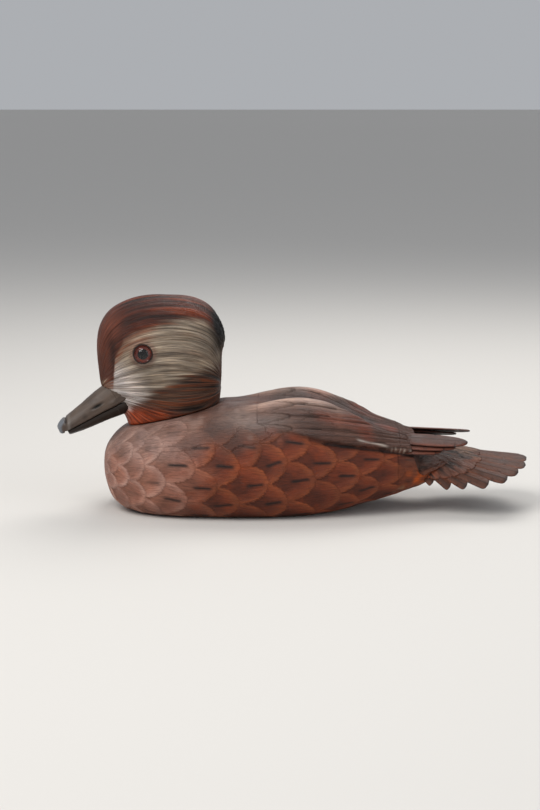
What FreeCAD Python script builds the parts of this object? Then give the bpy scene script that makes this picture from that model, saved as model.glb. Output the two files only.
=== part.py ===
"""A carved, hollow, floating duck decoy with a head that turns on a dowel, in millimetres.

The bird faces -X and stands on the plane Z = 0. Its left side is -Y.
The origin is the centre of its flat base.
Each separate piece of wood, glass or metal is written to its own STEP file in parts/.
"""

import FreeCAD, Part
import math
import os

V = FreeCAD.Vector
UP = V(0, 0, 1)
ACROSS = V(0, 1, 0)
ORIGIN = V(0, 0, 0)

# Cutters and slabs reach this far, past every part of the bird.
FAR = 150.0
# How far a cutter starts outside the face it cuts.
OVERSHOOT = 1.0
# Points on each closed section.
SECTION_POINTS = 36

# Body outline, one row per cross-section from breast to rump:
# (x, lowest z, z of the widest point, highest z, half width, dip between the folded wings)
BODY_ROWS = [
    (-109.0, 22.5, 25.0, 27.5, 2.5, 0.0),
    (-107.8, 15.8, 25.0, 34.5, 10.0, 0.0),
    (-104.5, 8.6, 25.0, 40.0, 18.2, 0.0),
    (-98.0, 2.2, 25.2, 46.2, 27.0, 0.0),
    (-88.0, -1.6, 25.8, 51.8, 34.5, 0.0),
    (-74.0, -3.8, 26.4, 56.6, 40.5, 0.0),
    (-56.0, -4.4, 26.8, 60.0, 44.0, 0.0),
    (-36.0, -4.6, 27.0, 62.0, 45.5, 0.6),
    (-16.0, -4.4, 27.2, 65.2, 45.2, 3.4),
    (2.0, -3.6, 27.4, 67.4, 43.2, 5.4),
    (20.0, -0.6, 27.6, 63.6, 39.6, 5.8),
    (38.0, 4.0, 27.6, 56.4, 35.0, 6.4),
    (54.0, 8.4, 27.4, 49.2, 30.4, 4.6),
    (68.0, 12.6, 27.0, 43.0, 26.2, 2.2),
    (80.0, 18.4, 27.2, 37.8, 21.4, 0.8),
    (89.0, 23.6, 28.4, 35.2, 16.8, 0.0),
    (96.0, 27.4, 30.0, 33.8, 10.8, 0.0),
    (99.5, 29.6, 31.0, 32.8, 4.0, 0.0),
]
BACK_DIP_REACH = 23.0
BODY_UPPER_POWER = 2.1
BODY_LOWER_POWER = 3.0

# Hollow inside the body block: (x, lowest z, z of the widest point, highest z, half width)
CAVITY_ROWS = [
    (-84.0, 0.0, 22.0, 33.0, 8.0),
    (-74.0, -3.0, 22.0, 36.0, 14.0),
    (-54.0, -3.0, 23.0, 40.0, 22.0),
    (-30.0, -3.0, 24.0, 49.0, 24.0),
    (-4.0, -3.0, 24.0, 53.0, 20.0),
    (20.0, 0.0, 24.0, 49.0, 14.0),
    (40.0, 2.0, 24.0, 41.0, 10.0),
]
CAVITY_POWER = 2.2
SEAM_Z = 9.0

# Head: a seat plane that rises towards the tail, and a dowel square to it.
SEAT_TILT = math.radians(13.4)
SEAT_CENTRE = V(-69.0, 0, 53.1)
SEAT_RADIUS = 28.0
SEAT_GAP = 0.3
HEAD_TURN = 10.0
NECK_AXIS = V(-math.sin(SEAT_TILT), 0, math.cos(SEAT_TILT))

# Head outline in side view, one row per section from neck to crown:
# (front x, front z, rear x, rear z, half width, share it narrows by towards the bill)
HEAD_ROWS = [
    (-93.2, 44.0, -43.6, 57.0, 17.6, 0.30),
    (-95.8, 50.5, -42.6, 63.0, 19.2, 0.38),
    (-101.5, 60.0, -41.9, 72.6, 21.4, 0.44),
    (-109.4, 70.6, -41.6, 82.2, 23.0, 0.36),
    (-111.2, 81.7, -40.4, 90.9, 23.4, 0.22),
    (-112.0, 93.8, -39.3, 98.6, 22.6, 0.12),
    (-110.6, 103.5, -41.4, 105.9, 20.6, 0.08),
    (-106.6, 111.0, -45.4, 112.2, 17.6, 0.06),
    (-100.0, 116.2, -50.8, 116.8, 13.6, 0.04),
    (-92.4, 119.4, -58.2, 119.8, 9.2, 0.02),
    (-85.0, 121.0, -67.5, 121.0, 4.6, 0.0),
    (-79.0, 121.5, -74.0, 121.4, 1.2, 0.0),
]
HEAD_POWER = 2.25

# Bill: its base plane is square to its axis.
BILL_BASE = V(-99.2, 0, 62.0)
BILL_TIP = V(-133.4, 0, 44.4)
# (share of length, half width, height of the upper bill, depth of the lower bill)
BILL_ROWS = [
    (-0.30, 9.4, 13.4, 7.4),
    (0.00, 9.4, 13.8, 7.2),
    (0.25, 8.6, 11.4, 5.8),
    (0.50, 8.0, 9.2, 4.8),
    (0.75, 7.8, 7.2, 3.6),
    (0.90, 6.8, 5.8, 2.4),
    (0.97, 4.8, 4.4, 1.4),
    (1.00, 1.6, 2.8, 0.8),
]
BILL_FLAT_POWER = 6.0
BILL_LIP = 0.5
MANDIBLE_GAP = 0.1
LOWER_BILL_WIDTH = 0.9
LOWER_BILL_END = 0.93
BILL_PIN_RADIUS = 2.5
BILL_PIN_LENGTH = 24.0
BILL_PIN_RISE = 6.0

# Glass eyes of 10 mm, in putty, looking sideways and a little forwards.
EYE_CENTRE = V(-88.0, 0, 90.0)
EYE_FORWARD = math.radians(10.0)
EYE_RISE = math.radians(6.0)
EYE_SURFACE_Y = 21.8
EYE_RADIUS = 5.0
EYE_DOME_RADIUS = 6.0
EYE_PROUD = 2.1
EYE_LENS_EDGE = 0.8
IRIS_THICKNESS = 0.8
PUPIL_RADIUS = 2.6
PUTTY_RADIUS = 6.3
PUTTY_DEPTH = 7.0
PUTTY_PROUD = 0.5

# Neck dowel and what keeps it in.
PIN_RADIUS = 6.0
PIN_CLEARANCE = 0.05
PIN_IN_HEAD = 30.0
BOSS_THICKNESS = 15.0
SPOTFACE_RADIUS = 11.0
SPOTFACE_DEPTH = 8.0
WASHER_RADIUS = 9.5
WASHER_THICKNESS = 1.5
WASHER_PLAY = 0.2
NECK_SCREW_RADIUS = 2.0
NECK_SCREW_LENGTH = 17.0
NECK_SCREW_HOLE = 18.0
NECK_SCREW_HEAD_RADIUS = 4.0
NECK_SCREW_HEAD_HEIGHT = 2.4

# Wing tips: three primaries a side, stacked like shingles, set in slots in the body.
PRIMARY_TIPS_X = {"left": (98.0, 91.5, 84.0), "right": (102.5, 95.0, 87.0)}
PRIMARY_ROOT = V(50.0, 13.5, 41.2)
PRIMARY_PITCH = math.radians(3.2)
PRIMARY_ROLL = math.radians(16.0)
PRIMARY_SPLAY = math.radians(5.0)
PRIMARY_WIDTH = 13.0
PRIMARY_ROOT_SHARE = 0.7
PRIMARY_THICKNESS = 1.4
PRIMARY_STEP_DOWN = 1.65
PRIMARY_STEP_OUT = 2.6

# Tail: an arched fan: (x, half width, z of the ridge, z of the edge, thickness)
TAIL_ROWS = [
    (62.0, 16.0, 31.6, 22.0, 2.6),
    (74.0, 21.6, 32.4, 20.0, 2.6),
    (88.0, 27.6, 32.8, 18.8, 2.6),
    (102.0, 31.4, 32.0, 19.2, 2.4),
    (114.0, 31.2, 30.4, 21.0, 2.2),
    (123.0, 27.0, 29.4, 23.2, 2.0),
    (129.5, 19.0, 28.8, 25.6, 1.8),
    (133.0, 9.0, 28.3, 27.5, 1.7),
]
TAIL_FAN_CENTRE = V(56.0, 0, 0)
TAIL_SLIT_DEGREES = (7.0, 15.0, 22.0, 28.0, 34.0, 39.0, 44.5)
TAIL_SLIT = 0.25

# Screws through the bottom board into the body block: (x, y of the left and right pair)
BOARD_SCREWS = [(-70.0, 21.0), (-28.0, 28.5), (6.0, 22.5)]
WOOD_SCREW_RADIUS = 1.6
WOOD_SCREW_HEAD_RADIUS = 3.0
WOOD_SCREW_HEAD_HEIGHT = 1.8
WOOD_SCREW_LENGTH = 18.0
SCREW_SINK = 0.4

# Ballast let into the bottom board.
BALLAST_X = -14.0
BALLAST_RADIUS = 18.0
BALLAST_THICKNESS = 4.6
BALLAST_RECESS = 5.0
BALLAST_CLEARANCE = 0.2
BALLAST_SCREW_Y = 11.0
BALLAST_SCREW_LENGTH = 8.0
BALLAST_SCREW_SINK = 0.6

# Line tie: a wire staple across a pocket at the front of the bottom board, clenched inside the hollow.
TIE_X = -58.0
TIE_POCKET_LENGTH = 24.0
TIE_POCKET_WIDTH = 14.0
TIE_POCKET_DEPTH = 6.5
STAPLE_WIRE = 0.8
STAPLE_SPAN = 9.0
STAPLE_BEND = 1.2
STAPLE_CROWN_Z = 1.3
STAPLE_LEG_TOP = 11.5


def super_point(angle, upper_power, lower_power):
    """A point of a unit superellipse: (across, up)."""
    power = upper_power if math.sin(angle) >= 0 else lower_power
    across = math.copysign(abs(math.cos(angle)) ** (2 / power), math.cos(angle))
    up = math.copysign(abs(math.sin(angle)) ** (2 / power), math.sin(angle))
    return across, up


def closed_wire(points):
    """A smooth closed wire through the points."""
    curve = Part.BSplineCurve()
    curve.interpolate(Points=points, PeriodicFlag=True)
    return Part.Wire([curve.toShape()])


def loft(wires):
    """A solid lofted smoothly through the wires."""
    solid = Part.makeLoft(wires, True, False)
    return solid if solid.ShapeType == "Solid" else solid.Solids[0]


def section_angles():
    """The angles of the points of a closed section. They keep clear of the top, bottom and sides."""
    return [2 * math.pi * (i + 0.5) / SECTION_POINTS for i in range(SECTION_POINTS)]


def cross_section(x, low, wide, high, half, dip, upper_power, lower_power):
    """A closed section square to X, with its widest point at z = wide and a dip in the middle of its top."""
    points = []
    for angle in section_angles():
        across, up = super_point(angle, upper_power, lower_power)
        y = half * across
        if up >= 0:
            sunk = dip * max(0.0, 1 - (y / BACK_DIP_REACH) ** 2) ** 2
            points.append(V(x, y, wide + (high - wide) * up - sunk))
        else:
            points.append(V(x, y, wide + (wide - low) * up))
    return closed_wire(points)


def box(x0, x1, y0, y1, z0, z1):
    """A box between two corners."""
    return Part.makeBox(x1 - x0, y1 - y0, z1 - z0, V(x0, y0, z0))


def slab(z0, z1):
    """Everything between two heights."""
    return box(-FAR, FAR, -FAR, FAR, z0, z1)


def rod(radius, start, direction, length):
    """A cylinder from start along direction."""
    return Part.makeCylinder(radius, length, start, direction)


def one_solid(shape):
    """The largest solid of a shape."""
    return max(shape.Solids, key=lambda solid: solid.Volume)


def body_form():
    """The whole outside shape of the body, cut flat underneath."""
    sections = [cross_section(*row, BODY_UPPER_POWER, BODY_LOWER_POWER) for row in BODY_ROWS]
    return one_solid(loft(sections).common(slab(0, FAR)))


def cavity():
    """The hollow inside the body, down to the seam."""
    sections = [cross_section(*row, 0.0, CAVITY_POWER, CAVITY_POWER) for row in CAVITY_ROWS]
    return loft(sections).common(slab(SEAM_Z, FAR))


def wood_screw(point, length):
    """A countersunk screw with its head down at point."""
    cone = Part.makeCone(WOOD_SCREW_HEAD_RADIUS, WOOD_SCREW_RADIUS, WOOD_SCREW_HEAD_HEIGHT, point, UP)
    return cone.fuse(rod(WOOD_SCREW_RADIUS, point, UP, length)).removeSplitter()


def screw_hole(point, length):
    """The hole of a countersunk screw that opens down at Z = 0."""
    mouth = rod(WOOD_SCREW_HEAD_RADIUS, point - UP * OVERSHOOT, UP, OVERSHOOT)
    return wood_screw(point, length).fuse(mouth)


def board_screw_points():
    """Where the six screws of the bottom board start."""
    return [V(x, side * y, SCREW_SINK) for x, y in BOARD_SCREWS for side in (-1, 1)]


def ballast_screw_points():
    """Where the two screws of the ballast start."""
    return [V(BALLAST_X, side * BALLAST_SCREW_Y, BALLAST_SCREW_SINK) for side in (-1, 1)]


def neck_pin():
    """The dowel that is glued into the head and turns in the body."""
    low = SEAT_CENTRE - NECK_AXIS * (BOSS_THICKNESS + WASHER_PLAY)
    pin = rod(PIN_RADIUS, low, NECK_AXIS, BOSS_THICKNESS + WASHER_PLAY + PIN_IN_HEAD)
    hole = rod(NECK_SCREW_RADIUS, low - NECK_AXIS * OVERSHOOT, NECK_AXIS, NECK_SCREW_HOLE + OVERSHOOT)
    return pin.cut(hole)


def neck_washer():
    """The washer under the boss."""
    top = SEAT_CENTRE - NECK_AXIS * (BOSS_THICKNESS + WASHER_PLAY)
    ring = rod(WASHER_RADIUS, top, -NECK_AXIS, WASHER_THICKNESS)
    hole_length = WASHER_THICKNESS + 2 * OVERSHOOT
    return ring.cut(rod(NECK_SCREW_RADIUS, top + NECK_AXIS * OVERSHOOT, -NECK_AXIS, hole_length))


def neck_screw():
    """The screw that holds the washer to the dowel's end."""
    under = SEAT_CENTRE - NECK_AXIS * (BOSS_THICKNESS + WASHER_PLAY + WASHER_THICKNESS)
    head = rod(NECK_SCREW_HEAD_RADIUS, under, -NECK_AXIS, NECK_SCREW_HEAD_HEIGHT)
    shank = rod(NECK_SCREW_RADIUS, under, NECK_AXIS, NECK_SCREW_LENGTH)
    return head.fuse(shank).removeSplitter()


def head_form():
    """The outside shape of the head, cut off just above the seat."""
    wires = []
    for front_x, front_z, rear_x, rear_z, half, pinch in HEAD_ROWS:
        front, rear = V(front_x, 0, front_z), V(rear_x, 0, rear_z)
        centre, reach = (front + rear) * 0.5, (rear - front) * 0.5
        points = []
        for angle in section_angles():
            along, across = super_point(angle, HEAD_POWER, HEAD_POWER)
            width = half * (1 + pinch * min(along, 0))
            points.append(centre + reach * along + ACROSS * (width * across))
        wires.append(closed_wire(points))
    below = rod(FAR, SEAT_CENTRE + NECK_AXIS * SEAT_GAP, -NECK_AXIS, FAR)
    return one_solid(loft(wires).cut(below))


def bill_axis():
    """The unit direction from the bill's base to its tip, and its length."""
    reach = BILL_TIP - BILL_BASE
    return V(reach).normalize(), reach.Length


def bill_section(share, half, top, bottom, upper):
    """A section of the upper or the lower bill, square to the bill's axis."""
    direction, length = bill_axis()
    normal = ACROSS.cross(direction)
    centre = BILL_BASE + direction * (share * length)
    points = []
    for angle in section_angles():
        round_side = (math.sin(angle) >= 0) == upper
        power = 2.0 if round_side else BILL_FLAT_POWER
        across, up = super_point(angle, power, power)
        reach = top if up >= 0 else bottom
        points.append(centre + ACROSS * (half * across) + normal * (reach * up))
    return closed_wire(points)


def upper_bill():
    """The upper bill, with a tenon that goes into the head."""
    return loft([bill_section(share, half, high, BILL_LIP, True) for share, half, high, _ in BILL_ROWS])


def lower_bill():
    """The lower bill, which the upper one overhangs."""
    direction, _ = bill_axis()
    wires = []
    for share, half, _, low in BILL_ROWS:
        if share <= LOWER_BILL_END:
            wires.append(bill_section(share, half * LOWER_BILL_WIDTH, BILL_LIP, low, False))
    solid = loft(wires)
    solid.translate(ACROSS.cross(direction) * -(2 * BILL_LIP + MANDIBLE_GAP))
    return solid


def bill_pin():
    """The dowel between the upper bill and the head."""
    direction, _ = bill_axis()
    middle = BILL_BASE + ACROSS.cross(direction) * BILL_PIN_RISE
    return rod(BILL_PIN_RADIUS, middle + direction * (BILL_PIN_LENGTH / 3), -direction, BILL_PIN_LENGTH)


def eye_frame(side):
    """The point on the head's surface under the eye's centre, and the direction the eye looks in."""
    look = V(
        -math.sin(EYE_FORWARD) * math.cos(EYE_RISE),
        side * math.cos(EYE_FORWARD) * math.cos(EYE_RISE),
        math.sin(EYE_RISE),
    )
    return V(EYE_CENTRE.x, side * EYE_SURFACE_Y, EYE_CENTRE.z), look


def eye_pieces(side):
    """The glass, iris, pupil and putty of one eye, and the socket to cut from the head."""
    surface, look = eye_frame(side)
    dome_centre = surface + look * (EYE_PROUD - EYE_DOME_RADIUS)
    dome_rim = dome_centre + look * math.sqrt(EYE_DOME_RADIUS**2 - EYE_RADIUS**2)
    iris_face = dome_rim - look * EYE_LENS_EDGE
    iris_back = iris_face - look * IRIS_THICKNESS
    putty_back = surface - look * PUTTY_DEPTH
    dome = Part.makeSphere(EYE_DOME_RADIUS)
    dome.translate(dome_centre)
    edge = rod(EYE_RADIUS, iris_face, look, EYE_LENS_EDGE)
    glass = rod(EYE_RADIUS, iris_face, look, EYE_DOME_RADIUS).common(dome.fuse(edge))
    disc = rod(EYE_RADIUS, iris_back, look, IRIS_THICKNESS)
    pupil = rod(PUPIL_RADIUS, iris_back, look, IRIS_THICKNESS)
    socket = rod(PUTTY_RADIUS, putty_back, look, 2 * PUTTY_DEPTH)
    plug = rod(PUTTY_RADIUS, putty_back, look, PUTTY_DEPTH + PUTTY_PROUD)
    putty = plug.cut(rod(EYE_RADIUS, iris_back, look, PUTTY_DEPTH))
    return {
        "eye_glass": one_solid(glass),
        "eye_iris": one_solid(disc.cut(pupil)),
        "eye_pupil": pupil,
        "eye_putty": one_solid(putty),
    }, socket


def primary(side, place):
    """One wing-tip feather: a thin blade with a rounded end."""
    sign = -1 if side == "left" else 1
    length = PRIMARY_TIPS_X[side][place] - PRIMARY_ROOT.x
    half = PRIMARY_WIDTH / 2
    root_half = half * PRIMARY_ROOT_SHARE
    shoulder = length - PRIMARY_WIDTH
    root_left, root_right = V(0, -root_half, 0), V(0, root_half, 0)
    left, right = V(shoulder, -half, 0), V(shoulder, half, 0)
    outline = Part.Wire(
        [
            Part.makeLine(root_left, left),
            Part.Arc(left, V(length, 0, 0), right).toShape(),
            Part.makeLine(right, root_right),
            Part.makeLine(root_right, root_left),
        ]
    )
    blade = Part.Face(outline).extrude(UP * PRIMARY_THICKNESS)
    blade.translate(V(0, sign * PRIMARY_STEP_OUT * place, -PRIMARY_STEP_DOWN * place))
    blade.rotate(ORIGIN, V(1, 0, 0), -sign * math.degrees(PRIMARY_ROLL))
    blade.rotate(ORIGIN, ACROSS, math.degrees(PRIMARY_PITCH))
    blade.rotate(ORIGIN, UP, sign * math.degrees(PRIMARY_SPLAY))
    blade.translate(V(PRIMARY_ROOT.x, sign * PRIMARY_ROOT.y, PRIMARY_ROOT.z))
    return blade


def tail_section(x, half, ridge, edge, thickness):
    """One arched, thin section of the tail."""
    over = Part.Arc(V(x, -half, edge), V(x, 0, ridge), V(x, half, edge)).toShape()
    under_z, under_edge = ridge - thickness, edge - thickness
    under = Part.Arc(V(x, half, under_edge), V(x, 0, under_z), V(x, -half, under_edge)).toShape()
    right = Part.makeLine(V(x, half, edge), V(x, half, under_edge))
    left = Part.makeLine(V(x, -half, under_edge), V(x, -half, edge))
    return Part.Wire([over, right, under, left])


def tail_plate():
    """The whole tail fan before it is divided into feathers."""
    return loft([tail_section(*row) for row in TAIL_ROWS])


def tail_slits():
    """The thin radial cuts between the tail feathers."""
    cuts = []
    for degrees in TAIL_SLIT_DEGREES:
        for side in (-1, 1):
            slit = box(0, FAR, -TAIL_SLIT / 2, TAIL_SLIT / 2, 0, FAR)
            slit.rotate(ORIGIN, UP, side * degrees)
            slit.translate(TAIL_FAN_CENTRE)
            cuts.append(slit)
    return cuts


def tail_feathers(plate):
    """The feathers, from the outermost on the left to the outermost on the right."""

    def fan_angle(piece):
        middle = piece.CenterOfMass - TAIL_FAN_CENTRE
        return math.atan2(middle.y, middle.x)

    return sorted(plate.cut(tail_slits()).Solids, key=fan_angle)


def tie_pocket():
    """The round-ended pocket that the line tie sits in."""
    half = TIE_POCKET_WIDTH / 2
    reach = TIE_POCKET_LENGTH / 2 - half
    middle = box(TIE_X - reach, TIE_X + reach, -half, half, -OVERSHOOT, TIE_POCKET_DEPTH)
    depth = TIE_POCKET_DEPTH + OVERSHOOT
    ends = [rod(half, V(TIE_X + shift, 0, -OVERSHOOT), UP, depth) for shift in (-reach, reach)]
    return middle.fuse(ends).removeSplitter()


def staple():
    """The wire staple that spans the pocket with its legs through the board."""
    half, bend, low = STAPLE_SPAN / 2, STAPLE_BEND, STAPLE_CROWN_Z
    inset = bend * (1 - math.sqrt(0.5))
    left_top, right_top = V(TIE_X, -half, STAPLE_LEG_TOP), V(TIE_X, half, STAPLE_LEG_TOP)
    left_leg, right_leg = V(TIE_X, -half, low + bend), V(TIE_X, half, low + bend)
    left_end, right_end = V(TIE_X, -half + bend, low), V(TIE_X, half - bend, low)
    path = Part.Wire(
        [
            Part.makeLine(left_top, left_leg),
            Part.Arc(left_leg, V(TIE_X, -half + inset, low + inset), left_end).toShape(),
            Part.makeLine(left_end, right_end),
            Part.Arc(right_end, V(TIE_X, half - inset, low + inset), right_leg).toShape(),
            Part.makeLine(right_leg, right_top),
        ]
    )
    circle = Part.Wire([Part.makeCircle(STAPLE_WIRE, left_top, UP)])
    return path.makePipeShell([circle], True, True)


def write(name, shape):
    """Checks a piece and writes its STEP file."""
    solids = shape.Solids
    for solid in solids:
        if not solid.isValid() or solid.Volume <= 0:
            raise ValueError(name + " is not a valid solid")
    shape = solids[0] if len(solids) == 1 else Part.makeCompound(solids)
    shape.exportStep("parts/" + name + ".step")
    print(f"{name}: {len(solids)} solid(s), {shape.Volume:.1f} mm3")


def main():
    os.makedirs("parts", exist_ok=True)
    still = {}
    turning = {}

    plate = tail_plate()
    for number, feather in enumerate(tail_feathers(plate), 1):
        still[f"tail_feather_{number:02d}"] = feather
    blades = {}
    for side in ("left", "right"):
        for place in range(3):
            blades[f"{side}_primary_{place + 1}"] = primary(side, place)
    still.update(blades)

    form = body_form()
    board = form.common(slab(0, SEAM_Z))
    block = form.common(slab(SEAM_Z, FAR)).cut(cavity())
    holes = [screw_hole(point, WOOD_SCREW_LENGTH) for point in board_screw_points()]
    seat = rod(SEAT_RADIUS, SEAT_CENTRE, NECK_AXIS, FAR)
    bore_length = BOSS_THICKNESS + SPOTFACE_DEPTH + OVERSHOOT
    bore = rod(PIN_RADIUS + PIN_CLEARANCE, SEAT_CENTRE + NECK_AXIS * OVERSHOOT, -NECK_AXIS, bore_length)
    spotface = rod(SPOTFACE_RADIUS, SEAT_CENTRE - NECK_AXIS * BOSS_THICKNESS, -NECK_AXIS, SPOTFACE_DEPTH)
    still["body_block"] = one_solid(block.cut([seat, bore, spotface, plate, *blades.values(), *holes]))

    ballast_holes = [screw_hole(point, BALLAST_SCREW_LENGTH) for point in ballast_screw_points()]
    recess_radius = BALLAST_RADIUS + BALLAST_CLEARANCE
    recess = rod(recess_radius, V(BALLAST_X, 0, -OVERSHOOT), UP, BALLAST_RECESS + OVERSHOOT)
    staple_wire = staple()
    cutters = [*holes, *ballast_holes, recess, tie_pocket(), staple_wire]
    still["bottom_board"] = one_solid(board.cut(cutters))
    screws = [wood_screw(point, WOOD_SCREW_LENGTH) for point in board_screw_points()]
    still["bottom_screws"] = Part.makeCompound(screws)
    lead_start = V(BALLAST_X, 0, BALLAST_RECESS - BALLAST_THICKNESS)
    lead = rod(BALLAST_RADIUS, lead_start, UP, BALLAST_THICKNESS)
    still["ballast_weight"] = one_solid(lead.cut(ballast_holes))
    screws = [wood_screw(point, BALLAST_SCREW_LENGTH) for point in ballast_screw_points()]
    still["ballast_screws"] = Part.makeCompound(screws)
    still["line_tie_staple"] = staple_wire

    turning["neck_pin"] = neck_pin()
    turning["neck_washer"] = neck_washer()
    turning["neck_screw"] = neck_screw()
    upper, lower, pin = upper_bill(), lower_bill(), bill_pin()
    turning["bill_pin"] = pin
    turning["upper_bill"] = one_solid(upper.cut(pin))
    turning["lower_bill"] = lower
    sockets = []
    for side, sign in (("left", -1), ("right", 1)):
        pieces, socket = eye_pieces(sign)
        sockets.append(socket)
        for name, piece in pieces.items():
            turning[f"{side}_{name}"] = piece
    pin_hole = rod(PIN_RADIUS, SEAT_CENTRE - NECK_AXIS * OVERSHOOT, NECK_AXIS, PIN_IN_HEAD + OVERSHOOT)
    turning["head_block"] = one_solid(head_form().cut([pin_hole, pin, upper, lower, *sockets]))

    for shape in turning.values():
        shape.rotate(SEAT_CENTRE, NECK_AXIS, HEAD_TURN)
    for name, shape in {**still, **turning}.items():
        write(name, shape)


main()
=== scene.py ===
"""A carved, burned and painted duck decoy.

Feathers are cut over the CAD shapes, with painted wood, glass eyes and soft studio light."""
import math
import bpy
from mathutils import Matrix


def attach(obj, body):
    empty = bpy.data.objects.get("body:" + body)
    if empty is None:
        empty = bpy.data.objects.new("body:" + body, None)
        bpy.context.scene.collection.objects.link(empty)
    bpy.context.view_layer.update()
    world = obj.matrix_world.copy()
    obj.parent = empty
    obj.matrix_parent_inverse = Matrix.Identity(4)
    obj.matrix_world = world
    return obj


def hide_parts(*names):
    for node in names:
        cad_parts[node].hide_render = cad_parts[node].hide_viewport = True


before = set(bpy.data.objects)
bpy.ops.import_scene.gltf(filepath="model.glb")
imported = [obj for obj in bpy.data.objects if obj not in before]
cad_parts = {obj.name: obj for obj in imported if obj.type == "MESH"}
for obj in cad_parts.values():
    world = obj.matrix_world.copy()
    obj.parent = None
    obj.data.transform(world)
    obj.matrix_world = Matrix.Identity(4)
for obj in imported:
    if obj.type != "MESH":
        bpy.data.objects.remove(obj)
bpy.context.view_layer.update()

from types import SimpleNamespace

import bpy
import numpy as np
from mathutils import Matrix, Vector
from mathutils.bvhtree import BVHTree

# Lengths are in millimetres until a mesh is written, except in the camera and lights.
MM = 0.001
SEAT = Vector((-69.0, 0.0, 53.1))
SEAT_TILT = math.radians(13.4)
HEAD_TURN = math.radians(10.0)
NECK = Vector((-math.sin(SEAT_TILT), 0, math.cos(SEAT_TILT)))
FAN_CENTRE_X = 56.0
FAN_ROOT = 8.0
TAIL_SLITS = [7.0, 15.0, 22.0, 28.0, 34.0, 39.0, 44.5, 51.0]
OUTSIDE = 200.0


# ---------------------------------------------------------------- numbers on grids


def smooth(value, low, high):
    """0 below low, 1 above high, and a smooth rise between."""
    t = np.clip((value - low) / (high - low), 0, 1)
    return t * t * (3 - 2 * t)


def bump(value, centre, width):
    """A bell that is 1 at centre."""
    return np.exp(-(((value - centre) / width) ** 2))


def random_for(*whole):
    """A repeatable number from 0 to 1 for each combination of whole numbers."""
    total = sum(w * k for w, k in zip(whole, (127.1, 311.7, 74.7, 269.5)))
    return np.modf(np.abs(np.sin(total) * 43758.5453))[0]


def noise(points, size, seed=0):
    """Smooth noise from -1 to 1 at the points, with features about as wide as size (one number or three)."""
    place = points / np.asarray(size, float)
    cell = np.floor(place)
    part = place - cell
    part = part * part * (3 - 2 * part)
    total = np.zeros(points.shape[:-1])
    for corner in range(8):
        step = [(corner >> k) & 1 for k in range(3)]
        weight = np.ones_like(total)
        for k in range(3):
            weight = weight * (part[..., k] if step[k] else 1 - part[..., k])
        total += weight * random_for(*[cell[..., k] + step[k] for k in range(3)], seed)
    return 2 * total - 1


def triples(a, b, c=0.0):
    """Three grids of numbers as one grid of points."""
    return np.stack(np.broadcast_arrays(a, b, c), axis=-1).astype(float)


def colour(code):
    """A linear colour from a hex code."""
    parts = np.array([int(code[i:i + 2], 16) / 255 for i in (0, 2, 4)])
    return np.where(parts <= 0.04045, parts / 12.92, ((parts + 0.055) / 1.055) ** 2.4)


def painted(shape, ground, layers):
    """A grid of one hex colour with layers painted over it, each a hex colour and a grid of weights."""
    paint = np.ones(shape + (3,)) * colour(ground)
    for code, weight in layers:
        paint = paint + (colour(code) - paint) * np.clip(weight, 0, 1)[..., None]
    return paint


# ---------------------------------------------------------------- surfaces taken from the CAD nodes


def node_points(name):
    """The corners of a CAD node's mesh, in millimetres."""
    return np.array([v.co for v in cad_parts[name].data.vertices]) / MM


def solid_tree(names):
    """A search tree of CAD nodes in millimetres, and the node that each face belongs to."""
    points, faces, owners = [], [], []
    for name in names:
        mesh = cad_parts[name].data
        first = len(points)
        points += [v.co / MM for v in mesh.vertices]
        faces += [[first + i for i in face.vertices] for face in mesh.polygons]
        owners += [name] * len(mesh.polygons)
    return BVHTree.FromPolygons(points, faces), owners


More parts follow.
